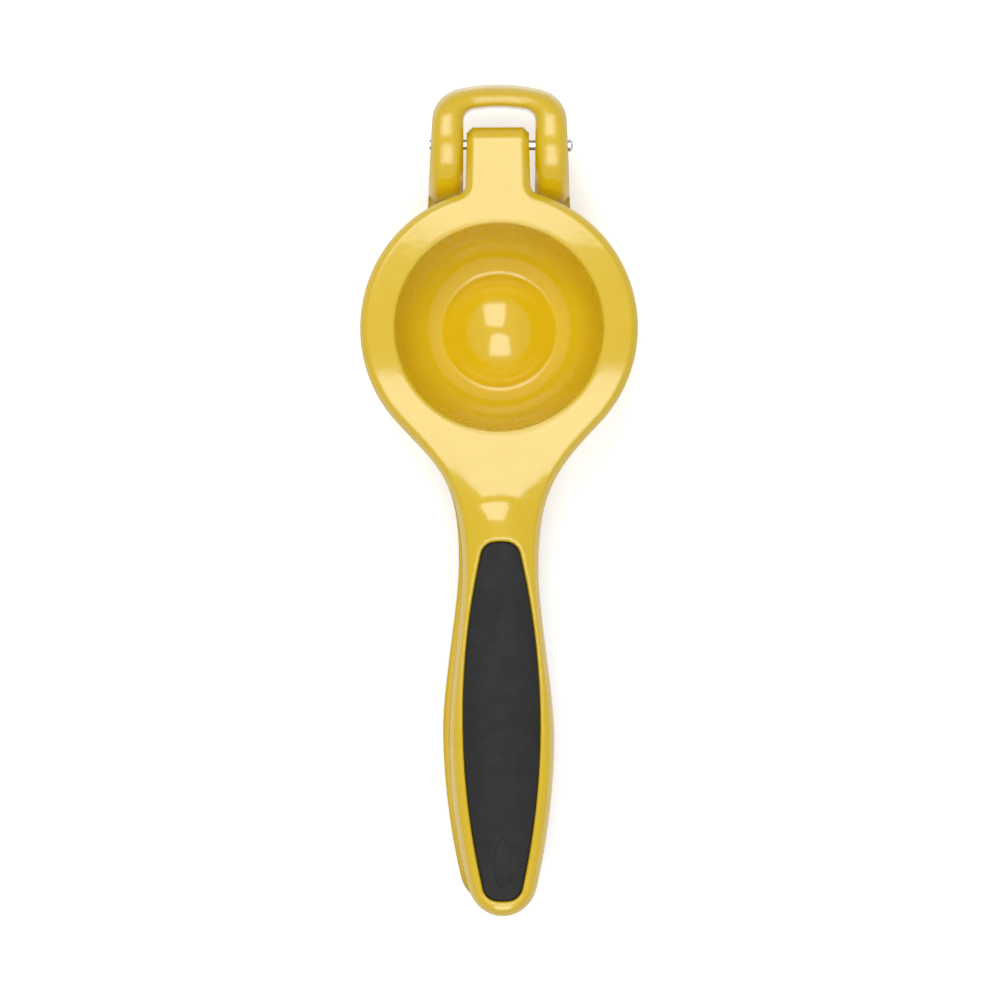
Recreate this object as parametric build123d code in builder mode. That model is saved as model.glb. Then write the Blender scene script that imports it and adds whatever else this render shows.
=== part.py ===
from build123d import *
from math import asin, cos, degrees, pi, radians, sin, sqrt, tan
import os

# Hand-held citrus squeezer, closed: two cast arms that turn on one steel pin, each with a soft grip.
# Millimetres. Origin on the bowl's foot under the bowl's axis, +Z up, +Y from the head to the hinge.

# Head and flange, with heights counted from the parting plane between the two arms
head_radius = 38.0
flange_height = 7.5
flange_crest_y = 6.0
flange_crown_radius = 450.0
parting_gap = 0.4
edge_chamfer = 1.6

# Handle outline in plan, from the head's axis towards the tip
flare_angle = 44.0
flare_pull_ratio = 0.44
neck_length = 28.9
neck_half_width = 10.4
neck_pull_ratio = 0.584
neck_belly_pull = 12.5
belly_length = 45.3
belly_half_width = 14.45
belly_pull = 15.3
tip_length = 48.6
tip_radius = 9.5
tip_angle = 14.5
tip_pull = 10.0
handle_stagger = 2.5

# Back of an arm: the flat flange blends into the handle, which is crowned across and rises to the tip
crown_start_inset = 10.0
handle_start_length = 18.0
handle_start_height = 6.4
handle_rise_angle = 1.72
handle_crown_radius = 20.0
station_count = 12
back_margin = 12.0

# Grip pads and their pockets in the handles
pad_front_length = 8.4
pad_tip_margin = 4.0
pad_border = 3.75
pad_end_border = 4.6
pad_end_bulge = 1.0
pad_corner_radius = 4.2
pad_gap = 0.2
pad_recess = 0.15
pad_crown_radius = 21.5
pad_edge_chamfer = 0.4
pocket_floor = 3.0
pocket_lip_chamfer = 0.5
glue_gap = 0.05
mark_tip_margin = 14.5
mark_half_length = 6.8
mark_half_width = 2.3
mark_depth = 0.3

# Press cup in the upper arm
flange_width = 9.4
cup_draft = 2.2
cup_wall = 2.6
cup_bend_radius = 18.0
cup_outer_chamfer = 6.5
cup_floor_angle = 25.0
valley_depth = 22.5
valley_inset = 10.4
dome_ease = 6.0
dome_flat_radius = 0.5
dome_wall = 3.85
dimple_margin = 3.0

# Strainer bowl in the lower arm
bowl_rim_width = 4.4
bowl_draft = 2.5
bowl_depth = 23.5
bowl_bend_chamfer = 6.0
bowl_bend_radius = 12.0
bowl_wall = 2.6
bowl_rim_chamfer = 0.6
drain_diameter = 4.0
drain_ring_radius = 11.5
drain_ring_count = 7

# Hinge: tongue of the upper arm, loop of the lower arm, and the pin
hinge_reach = 12.43
knuckle_radius = 5.0
tongue_half_width = 8.55
tongue_draft = 0.3
tongue_side_gap = 1.35
tongue_root_radius = 3.0
tongue_web_reach = 10.0
loop_bar_width = 9.0
loop_reach = 16.97
loop_taper_angle = 2.7
loop_end_width = 6.2
loop_crown_radius = 46.0
loop_corner_radius = 9.5
slot_crown_radius = 40.0
slot_corner_radius = 3.5
loop_arch_radius = 20.0
loop_crest_height = 5.5
loop_crest_offset = 2.0
loop_underside = 5.5
loop_root_depth = 14.0
loop_edge_chamfer = 2.0
pin_radius = 1.4
pin_fit = 0.02
pin_head_radius = 1.7
pin_head_height = 1.2
pin_head_chamfer = 0.6
pin_tail_height = 0.3

# Where the loose upper arm lies within its play on the pin
play_angle = 0.73
play_shift = 0.4

flare_pull = head_radius * flare_pull_ratio
neck_flare_pull = head_radius * neck_pull_ratio
neck_reach = head_radius + neck_length
belly_reach = neck_reach + belly_length
tip_reach = belly_reach + tip_length
crown_start_reach = head_radius - crown_start_inset
handle_start_reach = head_radius + handle_start_length
handle_rise = tan(radians(handle_rise_angle))
back_half_width = head_radius + back_margin
back_depth = back_half_width**2 / handle_crown_radius
pad_front_reach = neck_reach - pad_front_length
pad_back_reach = tip_reach - pad_tip_margin
pad_half_width = belly_half_width - pad_border
pad_end_half_width = tip_radius - pad_end_border
cup_radius = head_radius - flange_width
cup_floor_radius = cup_radius - cup_draft
valley_radius = cup_floor_radius - valley_inset
dome_radius = valley_radius + dome_ease
dimple_radius = valley_radius - dimple_margin
bowl_radius = head_radius - bowl_rim_width
bowl_floor_radius = bowl_radius - bowl_draft
hinge_y = head_radius + hinge_reach
slot_half_width = tongue_half_width + tongue_side_gap
loop_half_width = slot_half_width + loop_bar_width
loop_end_y = hinge_y + loop_reach
loop_taper = tan(radians(loop_taper_angle))
tongue_root_half_width = tongue_half_width + tongue_draft
parting_z = bowl_depth + bowl_wall
upper_face_z = parting_z + parting_gap / 2
crown_centre_z = parting_z + flange_height - flange_crown_radius
tangent_radius = flange_crown_radius - knuckle_radius
pin_z = crown_centre_z + sqrt(tangent_radius**2 - (hinge_y - flange_crest_y) ** 2)
tongue_end_y = flange_crest_y + (hinge_y - flange_crest_y) * flange_crown_radius / tangent_radius
tongue_taper = (tongue_root_half_width - tongue_half_width) / (tongue_end_y - head_radius)
tongue_start_half_width = tongue_root_half_width + tongue_taper * head_radius
valley_z = flange_height - valley_depth
dome_centre_z = valley_z - sqrt(dome_radius**2 - valley_radius**2)
dimple_z = dome_centre_z + dome_radius - dome_wall
cup_corner_z = valley_z + valley_inset * tan(radians(cup_floor_angle))
cup_slope = (cup_radius - cup_floor_radius) / (flange_height - cup_corner_z)
parting = Plane.XY.offset(parting_z)
section_plane = Plane((0, 0, parting_z), x_dir=(1, 0, 0), z_dir=(0, -1, 0))
side_plane = Plane((0, 0, 0), x_dir=(0, 1, 0), z_dir=(1, 0, 0))
hinge_axis = Axis((0, hinge_y, pin_z), (1, 0, 0))
pad_top_z = parting_z + handle_start_height - pad_recess
pad_plane = Plane((0, -handle_start_reach, pad_top_z), x_dir=(1, 0, 0), z_dir=(0, -1, handle_rise))


def ramp(value, start, end):
    """Rises smoothly from 0 at start to 1 at end and stays there."""
    share = min(max((value - start) / (end - start), 0.0), 1.0)
    return (1 - cos(pi * share)) / 2


def back_height(y):
    """Height of an arm's back above the parting plane, along its middle."""
    flange = flange_height - (y - flange_crest_y) ** 2 / (2 * flange_crown_radius)
    handle = handle_start_height + (-y - handle_start_reach) * handle_rise
    blend = ramp(-y, crown_start_reach, handle_start_reach)
    return flange * (1 - blend) + handle * blend


def back_bend(y):
    """Curvature of an arm's back across, which is none on the flange."""
    return ramp(-y, crown_start_reach, handle_start_reach) / handle_crown_radius


def back_section(y):
    """Section of the space under an arm's back: a parabola on top of a block."""
    height = back_height(y)
    drop = back_bend(y) * back_half_width**2 / 2
    with BuildSketch(Plane((0, y, parting_z), x_dir=(1, 0, 0), z_dir=(0, -1, 0))) as section:
        with BuildLine():
            Bezier(
                (-back_half_width, height - drop),
                (0, height + drop),
                (back_half_width, height - drop),
            )
            Polyline(
                (back_half_width, height - drop),
                (back_half_width, -back_depth),
                (-back_half_width, -back_depth),
                (-back_half_width, height - drop),
            )
        make_face()
    return section.sketch


def arm_outline(stagger):
    """Plan of an arm: the round head flares into the neck, swells to the belly and ends in a round tip."""
    flare = radians(flare_angle)
    tip = radians(tip_angle)
    flare_point = Vector(head_radius * cos(flare), -head_radius * sin(flare))
    flare_way = Vector(-sin(flare), -cos(flare))
    neck = Vector(neck_half_width, stagger - neck_reach)
    belly = Vector(belly_half_width, stagger - belly_reach)
    tip_centre = Vector(0, stagger + tip_radius - tip_reach)
    tip_point = tip_centre + Vector(cos(tip), -sin(tip)) * tip_radius
    tip_way = Vector(-sin(tip), -cos(tip))
    along = Vector(0, -1)
    with BuildSketch() as plan:
        with BuildLine():
            ThreePointArc((0, head_radius), (head_radius, 0), flare_point)
            Bezier(flare_point, flare_point + flare_way * flare_pull, neck - along * neck_flare_pull, neck)
            Bezier(neck, neck + along * neck_belly_pull, belly - along * neck_belly_pull, belly)
            Bezier(belly, belly + along * belly_pull, tip_point - tip_way * tip_pull, tip_point)
            ThreePointArc(
                tip_point,
                tip_centre + Vector(cos((tip + pi / 2) / 2), -sin((tip + pi / 2) / 2)) * tip_radius,
                tip_centre - (0, tip_radius),
            )
            mirror(about=Plane.YZ)
        make_face()
    return plan.sketch


def pad_outline(inset):
    """Plan of a grip pad or its pocket: bowed sides, slightly bowed ends and round corners."""
    top = -pad_front_reach - inset
    bottom = -pad_back_reach + inset
    half_width = pad_half_width - inset
    side = pad_end_half_width - inset
    with BuildSketch() as plan:
        with BuildLine():
            ThreePointArc(
                (side, top - pad_end_bulge),
                (half_width, (top + bottom) / 2),
                (side, bottom + pad_end_bulge),
            )
            ThreePointArc((side, bottom + pad_end_bulge), (0, bottom), (-side, bottom + pad_end_bulge))
            ThreePointArc(
                (-side, bottom + pad_end_bulge),
                (-half_width, (top + bottom) / 2),
                (-side, top - pad_end_bulge),
            )
            ThreePointArc((-side, top - pad_end_bulge), (0, top), (side, top - pad_end_bulge))
        make_face()
        fillet(plan.vertices(), pad_corner_radius - inset)
    return plan.sketch


def cup_profile():
    """Half section of the press cup's hollow: raised dome, crease round it, floor, bend and sloping wall."""
    dome_angle = degrees(asin(valley_radius / dome_radius))
    flat_angle = degrees(asin(dome_flat_radius / dome_radius))
    corner = (cup_floor_radius, cup_corner_z)
    mouth = (cup_radius + cup_slope * flange_height, 2 * flange_height)
    with BuildSketch() as profile:
        with BuildLine():
            dome = CenterArc((0, dome_centre_z), dome_radius, 90 - flat_angle, flat_angle - dome_angle)
            Polyline(dome @ 1, corner, mouth, (0, mouth[1]), (0, (dome @ 0).Y), dome @ 0)
        make_face()
        fillet(profile.vertices().sort_by_distance(corner)[0], cup_bend_radius)
    return profile.sketch


def cup_outside():
    """Half section of the press cup with its hollow filled: wall, bend, pressing face and dimple."""
    base_z = valley_z - cup_wall
    corner = (cup_floor_radius + cup_wall, cup_corner_z - cup_wall)
    top_z = flange_height / 2
    with BuildSketch() as profile:
        with BuildLine():
            Polyline(
                (0, dimple_z),
                (dimple_radius / 2, dimple_z),
                (dimple_radius, base_z),
                (valley_radius, base_z),
                corner,
                (corner[0] + cup_slope * (top_z - corner[1]), top_z),
                (0, top_z),
                close=True,
            )
        make_face()
        chamfer(profile.vertices().sort_by_distance(corner)[0], cup_outer_chamfer)
    return profile.sketch


def bowl_profile():
    """Half section of the bowl's hollow: chamfered rim, sloping wall, slanted bend and flat floor."""
    rim_z = -parting_gap / 2
    rim_radius = bowl_radius + bowl_rim_chamfer
    corner = (bowl_floor_radius, -bowl_depth)
    with BuildSketch() as profile:
        with BuildLine():
            Polyline(
                (0, -bowl_depth),
                (0, flange_height),
                (rim_radius, flange_height),
                (rim_radius, rim_z),
                (bowl_radius, rim_z - bowl_rim_chamfer),
                corner,
                close=True,
            )
        make_face()
        chamfer(profile.vertices().sort_by_distance(corner)[0], bowl_bend_chamfer)
    return profile.sketch


def bowl_outside():
    """Half section of the bowl with its hollow filled: wall, round bend and flat foot."""
    top_z = -flange_height / 2
    corner = (bowl_floor_radius + bowl_wall, -bowl_depth - bowl_wall)
    with BuildSketch() as profile:
        with BuildLine():
            Polyline((0, corner[1]), corner, (bowl_radius + bowl_wall, top_z), (0, top_z), close=True)
        make_face()
        fillet(profile.vertices().sort_by_distance(corner)[0], bowl_bend_radius)
    return profile.sketch


def crowned_tab(half_width, start_half_width, start_y, end_y, crown_radius, corner_radius):
    """Plan of a tab that may taper, whose far end is crowned between two round corners."""
    corner_y = end_y - crown_radius + sqrt(crown_radius**2 - half_width**2)
    with BuildSketch() as plan:
        with BuildLine():
            Polyline(
                (-half_width, corner_y),
                (-start_half_width, start_y),
                (start_half_width, start_y),
                (half_width, corner_y),
            )
            ThreePointArc((half_width, corner_y), (0, end_y), (-half_width, corner_y))
        make_face()
        fillet(plan.vertices().group_by(Axis.Y)[-1], corner_radius)
    return plan.sketch


# Space under the back of the upper arm, lofted from the tongue to the handle's tip
with BuildPart() as back:
    first_y = hinge_y + 2 * knuckle_radius
    step = (first_y + tip_reach + knuckle_radius) / station_count
    loft([back_section(first_y - step * station) for station in range(station_count + 1)])

upper_back = back.part


def arm_plate(plan, stagger):
    """Plate of an arm under its crowned back, with round edges and the flat-floored pocket of the grip."""
    with BuildPart() as plate:
        with BuildSketch(Plane.XY.offset(upper_face_z)):
            add(plan)
        extrude(amount=2 * flange_height)
        add(upper_back, mode=Mode.INTERSECT)
        back_faces = plate.faces().filter_by(lambda f: f.normal_at().Z > abs(f.normal_at().X))
        side_edges = back_faces.edges().filter_by(lambda e: abs(e.center().X) > parting_gap)
        chamfer(side_edges, edge_chamfer)
        with BuildSketch(parting.offset(pocket_floor)):
            with Locations((0, stagger)):
                add(pad_outline(0))
        extrude(amount=2 * flange_height, mode=Mode.SUBTRACT)
        handle_back = plate.faces().filter_by(lambda f: len(f.inner_wires()) == 1)[0]
        chamfer(handle_back.inner_wires()[0].edges(), pocket_lip_chamfer)
    return plate.part


# Plan of the upper arm, with the hinge tongue
with BuildSketch() as upper_plan:
    add(arm_outline(0))
    with BuildLine():
        Polyline(
            (-tongue_start_half_width, 0),
            (-tongue_half_width, tongue_end_y),
            (tongue_half_width, tongue_end_y),
            (tongue_start_half_width, 0),
            close=True,
        )
    make_face()
    roots = upper_plan.vertices().filter_by_position(Axis.Y, head_radius / 2, head_radius, (False, False))
    fillet(roots.filter_by(lambda v: abs(v.X) > tongue_half_width), tongue_root_radius)

upper_plate = arm_plate(upper_plan.sketch, 0)
lower_plate = mirror(arm_plate(arm_outline(handle_stagger), handle_stagger), about=parting)

# Upper casting: the plate with its hinge knuckle and the press cup
with BuildPart() as upper_casting:
    add(upper_plate)

    # Knuckle round the pin and the web that carries it
    with BuildSketch(Plane((0, hinge_y, pin_z), x_dir=(1, 0, 0), z_dir=(0, 0, 1))) as knuckle:
        Rectangle(2 * tongue_half_width, knuckle_radius, align=(Align.CENTER, Align.MIN))
        chamfer(knuckle.vertices().group_by(Axis.Y)[-1], edge_chamfer)
    revolve(axis=hinge_axis)
    with BuildSketch(side_plane):
        with Locations((hinge_y, pin_z)):
            Circle(knuckle_radius - parting_gap)
        with Locations((hinge_y - tongue_web_reach, upper_face_z + parting_gap)):
            Circle(parting_gap)
        make_hull()
    extrude(amount=tongue_half_width - edge_chamfer, both=True)

    # Press cup: a shell that hangs from the flange
    with BuildSketch(section_plane):
        add(cup_outside())
    revolve(axis=Axis.Z)
    with BuildSketch(section_plane):
        add(cup_profile())
    revolve(axis=Axis.Z, mode=Mode.SUBTRACT)

# The upper arm lies turned and shifted within its side play on the pin
play = Pos(-play_shift, hinge_y, 0) * Rot(0, 0, play_angle) * Pos(0, -hinge_y, 0)
with BuildPart() as upper_arm:
    add(upper_casting.part.moved(play))
    with Locations(Location((0, hinge_y, pin_z), (0, 90, 0))):
        Cylinder(pin_radius + pin_fit, 4 * tongue_half_width, mode=Mode.SUBTRACT)

# Hinge loop: two bars and an end bar, flat below and arched above the pin
with BuildPart() as loop:
    arch_y = hinge_y + loop_crest_offset
    arch_z = pin_z + loop_crest_height - loop_arch_radius
    underside_z = pin_z - loop_underside
    root_y = bowl_floor_radius - loop_end_width
    reach = sqrt(loop_arch_radius**2 - (underside_z - arch_z) ** 2)
    with BuildSketch(Plane.XY.offset(parting_z - bowl_depth)):
        end_width = loop_half_width - loop_taper * loop_reach
        root_width = loop_half_width + loop_taper * (hinge_y - root_y)
        slot_end_y = loop_end_y - loop_end_width
        slot_size = (slot_half_width, slot_half_width, root_y, slot_end_y)
        add(crowned_tab(end_width, root_width, root_y, loop_end_y, loop_crown_radius, loop_corner_radius))
        add(crowned_tab(*slot_size, slot_crown_radius, slot_corner_radius), mode=Mode.SUBTRACT)
    extrude(amount=2 * bowl_depth)
    with BuildSketch(side_plane):
        with BuildLine():
            ThreePointArc(
                (arch_y + reach, underside_z),
                (arch_y, arch_z + loop_arch_radius),
                (arch_y - reach, underside_z),
            )
            Polyline(
                (arch_y - reach, underside_z),
                (root_y, underside_z),
                (root_y, underside_z - loop_root_depth),
            )
            TangentArc((hinge_y, underside_z), (root_y, underside_z - loop_root_depth), tangent=(-1, 0))
            Line((hinge_y, underside_z), (arch_y + reach, underside_z))
        make_face()
    extrude(amount=2 * loop_half_width, both=True, mode=Mode.INTERSECT)
    arch_face = loop.faces().filter_by(GeomType.CYLINDER).sort_by(Axis.Z)[-1]
    edges = arch_face.edges().filter_by(lambda e: e.center().Y > arch_y - reach + parting_gap)
    chamfer(edges, loop_edge_chamfer)

# Lower arm: the same plate turned over, with the strainer bowl, the hinge loop and the handle
with BuildPart() as lower_arm:
    add(lower_plate)
    with BuildSketch(section_plane):
        add(bowl_outside())
    revolve(axis=Axis.Z)
    add(loop.part)
    with BuildSketch(section_plane):
        add(bowl_profile())
    revolve(axis=Axis.Z, mode=Mode.SUBTRACT)
    Cylinder(drain_diameter / 2, 4 * bowl_wall, mode=Mode.SUBTRACT)
    with PolarLocations(drain_ring_radius, drain_ring_count):
        Cylinder(drain_diameter / 2, 4 * bowl_wall, mode=Mode.SUBTRACT)
    with Locations(Location((0, hinge_y, pin_z), (0, 90, 0))):
        Cylinder(pin_radius + pin_fit, 4 * loop_half_width, mode=Mode.SUBTRACT)

# Hinge pin: a steel rivet with a chamfered head on one side
with BuildPart() as hinge_pin:
    with BuildSketch(Plane((0, hinge_y, pin_z), x_dir=(1, 0, 0), z_dir=(0, 0, 1))):
        head_x = loop_half_width + loop_taper * pin_head_radius + pin_fit
        head_end_x = head_x + pin_head_height
        tail_x = -loop_half_width - pin_tail_height
        with BuildLine():
            Polyline(
                (tail_x, 0),
                (tail_x, pin_radius),
                (head_x, pin_radius),
                (head_x, pin_head_radius),
                (head_end_x - pin_head_chamfer, pin_head_radius),
                (head_end_x, pin_head_radius - pin_head_chamfer),
                (head_end_x, 0),
                close=True,
            )
        make_face()
    revolve(axis=hinge_axis)

# Grip pads, crowned like the handles and a little below the lip of their pockets
with BuildPart() as pad:
    with BuildSketch(pad_plane):
        Circle(pad_crown_radius, align=(Align.CENTER, Align.MAX))
    extrude(amount=tip_reach)
    with BuildSketch(parting.offset(pocket_floor + glue_gap)):
        add(pad_outline(pad_gap))
    extrude(amount=2 * flange_height, mode=Mode.INTERSECT)
    chamfer(pad.faces().sort_by(Axis.Z)[-1].edges(), pad_edge_chamfer)

# The upper pad has a shallow oval place near the tip, and the lower one is the same pad turned over
with BuildPart() as upper_grip:
    mark_reach = tip_reach - mark_tip_margin
    mark_z = pad_top_z + (mark_reach - handle_start_reach) * handle_rise - mark_depth
    add(pad.part)
    with BuildSketch(Plane((0, -mark_reach, mark_z), x_dir=(1, 0, 0), z_dir=(0, handle_rise, 1))):
        Ellipse(mark_half_width, mark_half_length)
    extrude(amount=flange_height, mode=Mode.SUBTRACT)
upper_grip.part = upper_grip.part.moved(play)
with BuildPart() as lower_grip:
    add(mirror(pad.part.moved(Pos(0, handle_stagger, 0)), about=parting))

os.makedirs("parts", exist_ok=True)
pieces = {
    "upper_arm": upper_arm,
    "lower_arm": lower_arm,
    "hinge_pin": hinge_pin,
    "upper_grip": upper_grip,
    "lower_grip": lower_grip,
}
for name, piece in pieces.items():
    piece.part.label = name
    export_step(piece.part, f"parts/{name}.step")
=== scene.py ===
import bpy
from math import atan, cos, hypot, pi, radians, sin
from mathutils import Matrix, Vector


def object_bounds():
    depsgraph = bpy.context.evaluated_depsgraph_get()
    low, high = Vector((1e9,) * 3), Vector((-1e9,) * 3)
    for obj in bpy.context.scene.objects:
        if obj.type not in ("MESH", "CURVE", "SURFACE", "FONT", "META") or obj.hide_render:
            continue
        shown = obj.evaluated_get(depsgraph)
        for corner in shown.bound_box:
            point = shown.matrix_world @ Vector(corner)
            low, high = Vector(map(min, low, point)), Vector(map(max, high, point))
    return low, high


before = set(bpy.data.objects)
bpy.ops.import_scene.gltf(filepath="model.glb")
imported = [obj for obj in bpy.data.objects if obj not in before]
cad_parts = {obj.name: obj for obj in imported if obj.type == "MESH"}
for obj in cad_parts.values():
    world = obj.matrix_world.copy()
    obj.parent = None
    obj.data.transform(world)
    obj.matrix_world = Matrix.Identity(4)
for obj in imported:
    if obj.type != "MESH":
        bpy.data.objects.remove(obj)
size_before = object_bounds()

# Camera straight above the squeezer, in metres and degrees
CAMERA_PLACE = (0.0008, -0.0472, 1.0336)
CAMERA_TURN = 0.36
VIEW_ANGLE = 15.55

# Two softboxes, one beyond the hinge and one beyond the handle, in degrees and metres. Each spans two
# angles from straight up, seen from the head, and its far end is closer to the head than its near end
UPPER_LIGHT = {"name": "softbox_hinge", "near": 9.0, "far": 42.0, "x": -0.11}
LOWER_LIGHT = {"name": "softbox_handle", "near": -5.0, "far": -36.0, "x": 0.02}
LIGHT_NEAR_DISTANCE = 1.05
LIGHT_FAR_DISTANCE = 0.88
LIGHT_WIDTH = 0.48
LIGHT_RADIANCE = 4.4

# Sky for the light on the squeezer, and for the rays that see it
SKY_LEVEL = 0.30
SKY_SEEN_LEVEL = 0.70

# Floor just below the foot, and what it adds for the rays that see it
FLOOR_SIZE = 100.0
FLOOR_GAP = 0.0002
FLOOR_LIFT = 0.45
FLOOR_TONE = (0.82, 0.82, 0.82)
FLOOR_PALE = (0.84, 0.84, 0.84)

# Finishes, as linear colours, and the radius of the rounded edges in metres
ENAMEL = (0.738, 0.503, 0.003)
ENAMEL_DEEP = (0.695, 0.446, 0.002)
ENAMEL_WORN = (0.77, 0.57, 0.04)
UPPER_EDGE_ROUND = 0.0016
LOWER_EDGE_ROUND = 0.0040
GRIP = (0.0165, 0.0165, 0.0170)
GRIP_DUSTY = (0.0225, 0.0225, 0.0232)
GRIP_EDGE_ROUND = 0.0004
STEEL = (0.60, 0.59, 0.57)
STEEL_DULL = (0.40, 0.39, 0.38)

# Samples of the rounding, and the cosine of the turn that it gives the normal on a face and on an edge
EDGE_SAMPLES = 12
FACE_COSINE = 0.99
EDGE_COSINE = 0.80

# Most noise values lie between these two
NOISE_LOW = 0.3
NOISE_HIGH = 0.7


def new_material(name):
    """An empty node material with a principled shader, and that shader."""
    material = bpy.data.materials.new(name)
    material.use_nodes = True
    shader = material.node_tree.nodes["Principled BSDF"]
    return material, shader


def add_node(owner, kind, **values):
    """A node of that kind in a material or the world, with the named properties and input values set."""
    node = owner.node_tree.nodes.new(kind)
    for name, value in values.items():
        socket = node.inputs.get(name.replace("_", " ").title())
        if socket is None:
            setattr(node, name, value)
        else:
            socket.default_value = value
    return node


def noise(material, scale, detail=3.0):
    """Noise over the object's own coordinates, in features per metre."""
    place = add_node(material, "ShaderNodeTexCoord")
    texture = add_node(material, "ShaderNodeTexNoise", scale=scale, detail=detail)
    material.node_tree.links.new(place.outputs["Object"], texture.inputs["Vector"])
    return texture.outputs["Fac"]


def ranged(material, value, low, high):
    """The noise value spread over low to high."""
    spread = add_node(material, "ShaderNodeMapRange", to_min=low, to_max=high)
    spread.inputs["From Min"].default_value = NOISE_LOW
    spread.inputs["From Max"].default_value = NOISE_HIGH
    material.node_tree.links.new(value, spread.inputs["Value"])
    return spread.outputs["Result"]


def mixed(material, share, first, second):
    """Colour between first and second by share. Either may be an output of another node."""
    mix = add_node(material, "ShaderNodeMix", data_type="RGBA")
    material.node_tree.links.new(share, mix.inputs["Factor"])
    # A mix node has its two colours in inputs 6 and 7 and the result in output 2
    for socket, colour in ((mix.inputs[6], first), (mix.inputs[7], second)):
        if isinstance(colour, tuple):
            socket.default_value = (*colour, 1.0)
        else:
            material.node_tree.links.new(colour, socket)
    return mix.outputs[2]


def bumped(material, height, distance, strength, under=None):
    """Normal of a bump by that height, on top of another normal if there is one."""
    bump = add_node(material, "ShaderNodeBump", strength=strength, distance=distance)
    material.node_tree.links.new(height, bump.inputs["Height"])
    if under is not None:
        material.node_tree.links.new(under, bump.inputs["Normal"])
    return bump.outputs["Normal"]


def rounded_edges(material, radius):
    """Normal rounded over the edges, and a share that rises from 0 on the faces to 1 on the edges."""
    links = material.node_tree.links
    bevel = add_node(material, "ShaderNodeBevel", samples=EDGE_SAMPLES, radius=radius)
    surface = add_node(material, "ShaderNodeNewGeometry")
    turn = add_node(material, "ShaderNodeVectorMath", operation="DOT_PRODUCT")
    links.new(bevel.outputs["Normal"], turn.inputs[0])
    links.new(surface.outputs["Normal"], turn.inputs[1])
    share = add_node(material, "ShaderNodeMapRange", from_min=FACE_COSINE, from_max=EDGE_COSINE)
    links.new(turn.outputs["Value"], share.inputs["Value"])
    return bevel.outputs["Normal"], share.outputs["Result"]


def enamel_material(name, edge_round):
    """Glossy yellow enamel over a casting, with slight waves, orange peel and rounded edges."""
    material, shader = new_material(name)
    links = material.node_tree.links
    normal, edge = rounded_edges(material, edge_round)
    clouds = ranged(material, noise(material, scale=55.0), low=0.0, high=0.35)
    tone = mixed(material, clouds, ENAMEL, ENAMEL_DEEP)
    scuffs = add_node(material, "ShaderNodeMath", operation="MULTIPLY")
    links.new(edge, scuffs.inputs[0])
    links.new(ranged(material, noise(material, scale=160.0), low=0.0, high=0.15), scuffs.inputs[1])
    links.new(mixed(material, scuffs.outputs["Value"], tone, ENAMEL_WORN), shader.inputs["Base Color"])
    roughness = ranged(material, noise(material, scale=180.0), low=0.22, high=0.30)
    links.new(roughness, shader.inputs["Roughness"])
    swell = noise(material, scale=110.0)
    waves = bumped(material, swell, distance=0.00012, strength=0.6, under=normal)
    pores = noise(material, scale=900.0, detail=2.0)
    peel = bumped(material, pores, distance=0.00002, strength=0.25, under=waves)
    links.new(peel, shader.inputs["Normal"])
    links.new(peel, shader.inputs["Coat Normal"])
    shader.inputs["Specular IOR Level"].default_value = 0.2
    shader.inputs["Coat Weight"].default_value = 1.0
    shader.inputs["Coat Roughness"].default_value = 0.10
    shader.inputs["Coat IOR"].default_value = 1.55
    return material


def grip_material():
    """Matt soft-touch rubber with a fine grain and slightly paler, rubbed edges."""
    material, shader = new_material("soft_grip")
    links = material.node_tree.links
    normal, edge = rounded_edges(material, GRIP_EDGE_ROUND)
    dust = ranged(material, noise(material, scale=140.0), low=0.0, high=0.6)
    tone = mixed(material, dust, GRIP, GRIP_DUSTY)
    links.new(mixed(material, edge, tone, GRIP_DUSTY), shader.inputs["Base Color"])
    roughness = ranged(material, noise(material, scale=260.0), low=0.62, high=0.74)
    links.new(roughness, shader.inputs["Roughness"])
    pores = noise(material, scale=4200.0, detail=2.0)
    grain = bumped(material, pores, distance=0.00004, strength=0.5, under=normal)
    links.new(grain, shader.inputs["Normal"])
    shader.inputs["Specular IOR Level"].default_value = 0.26
    return material


def steel_material():
    """Bare bright steel with a slightly uneven surface and duller spots."""
    material, shader = new_material("pin_steel")
    links = material.node_tree.links
    spots = ranged(material, noise(material, scale=900.0), low=0.0, high=1.0)
    links.new(mixed(material, spots, STEEL, STEEL_DULL), shader.inputs["Base Color"])
    roughness = ranged(material, noise(material, scale=1500.0), low=0.18, high=0.34)
    links.new(roughness, shader.inputs["Roughness"])
    dents = noise(material, scale=3000.0)
    links.new(bumped(material, dents, distance=0.00003, strength=0.3), shader.inputs["Normal"])
    shader.inputs["Metallic"].default_value = 1.0
    return material


def seen_level(owner, level, other):
    """That level for rays from the camera, a mirror or glass, and the other level for the rest."""
    links = owner.node_tree.links
    path = add_node(owner, "ShaderNodeLightPath")
    share = path.outputs["Is Camera Ray"]
    for ray in ("Is Glossy Ray", "Is Transmission Ray"):
        either = add_node(owner, "ShaderNodeMath", operation="MAXIMUM")
        links.new(share, either.inputs[0])
        links.new(path.outputs[ray], either.inputs[1])
        share = either.outputs["Value"]
    lift = add_node(owner, "ShaderNodeMapRange", to_min=other, to_max=level)
    links.new(share, lift.inputs["Value"])
    return lift.outputs["Result"]


def paint(node_name, material):
    """Gives a CAD node its finish."""
    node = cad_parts[node_name]
    node.data.materials.clear()
    node.data.materials.append(material)


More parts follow.
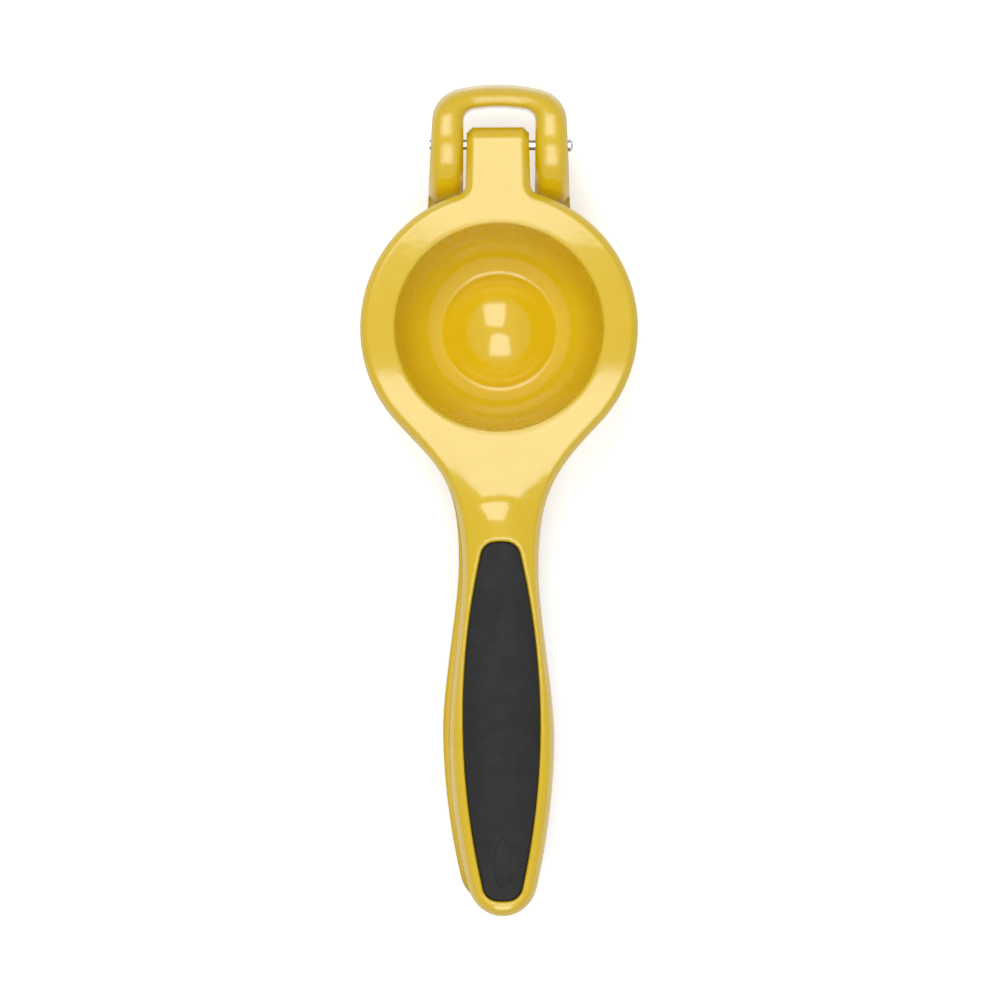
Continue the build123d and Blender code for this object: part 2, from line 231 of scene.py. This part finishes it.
def add_softbox(name, near, far, x):
    """A lamp over the squeezer that spans two angles along Y and faces the head."""
    near_y = LIGHT_NEAR_DISTANCE * sin(radians(near))
    near_z = LIGHT_NEAR_DISTANCE * cos(radians(near))
    far_y = LIGHT_FAR_DISTANCE * sin(radians(far))
    far_z = LIGHT_FAR_DISTANCE * cos(radians(far))
    lamp = bpy.data.lights.new(name, "AREA")
    lamp.shape = "RECTANGLE"
    lamp.size = LIGHT_WIDTH
    lamp.size_y = hypot(far_y - near_y, far_z - near_z)
    lamp.energy = pi * lamp.size * lamp.size_y * LIGHT_RADIANCE
    holder = bpy.data.objects.new(name, lamp)
    holder.location = (x, (near_y + far_y) / 2, (near_z + far_z) / 2)
    holder.rotation_euler = (atan((far_z - near_z) / (far_y - near_y)), 0, 0)
    bpy.context.scene.collection.objects.link(holder)


def add_floor(level):
    """A pale floor under the squeezer that looks white and keeps its shadow."""
    half = FLOOR_SIZE / 2
    mesh = bpy.data.meshes.new("floor")
    corners = [(-half, -half, level), (half, -half, level), (half, half, level), (-half, half, level)]
    mesh.from_pydata(corners, [], [(0, 1, 2, 3)])
    floor = bpy.data.objects.new("floor", mesh)
    bpy.context.scene.collection.objects.link(floor)
    material, shader = new_material("pale_floor")
    links = material.node_tree.links
    clouds = ranged(material, noise(material, scale=3.0), low=0.0, high=1.0)
    links.new(mixed(material, clouds, FLOOR_TONE, FLOOR_PALE), shader.inputs["Base Color"])
    shader.inputs["Roughness"].default_value = 0.9
    shader.inputs["Emission Color"].default_value = (1.0, 1.0, 1.0, 1.0)
    links.new(seen_level(material, FLOOR_LIFT, 0.0), shader.inputs["Emission Strength"])
    mesh.materials.append(material)


def add_sky():
    """Even pale light from all round, which looks paler than it lights."""
    world = bpy.data.worlds.new("studio")
    world.use_nodes = True
    sky = world.node_tree.nodes["Background"]
    sky.inputs["Color"].default_value = (1.0, 1.0, 1.0, 1.0)
    strength = seen_level(world, SKY_SEEN_LEVEL, SKY_LEVEL)
    world.node_tree.links.new(strength, sky.inputs["Strength"])
    bpy.context.scene.world = world


def add_camera():
    """The camera that looks straight down, with the hinge at the top."""
    camera = bpy.data.cameras.new("camera")
    camera.angle = radians(VIEW_ANGLE)
    holder = bpy.data.objects.new("camera", camera)
    holder.location = CAMERA_PLACE
    holder.rotation_euler = (0, 0, radians(CAMERA_TURN))
    bpy.context.scene.collection.objects.link(holder)
    bpy.context.scene.camera = holder


grip = grip_material()
paint("upper_arm", enamel_material("upper_enamel", UPPER_EDGE_ROUND))
paint("lower_arm", enamel_material("lower_enamel", LOWER_EDGE_ROUND))
paint("hinge_pin", steel_material())
paint("upper_grip", grip)
paint("lower_grip", grip)

add_softbox(**UPPER_LIGHT)
add_softbox(**LOWER_LIGHT)
add_floor(size_before[0].z - FLOOR_GAP)
add_sky()
add_camera()
bpy.context.scene.view_settings.view_transform = "Standard"
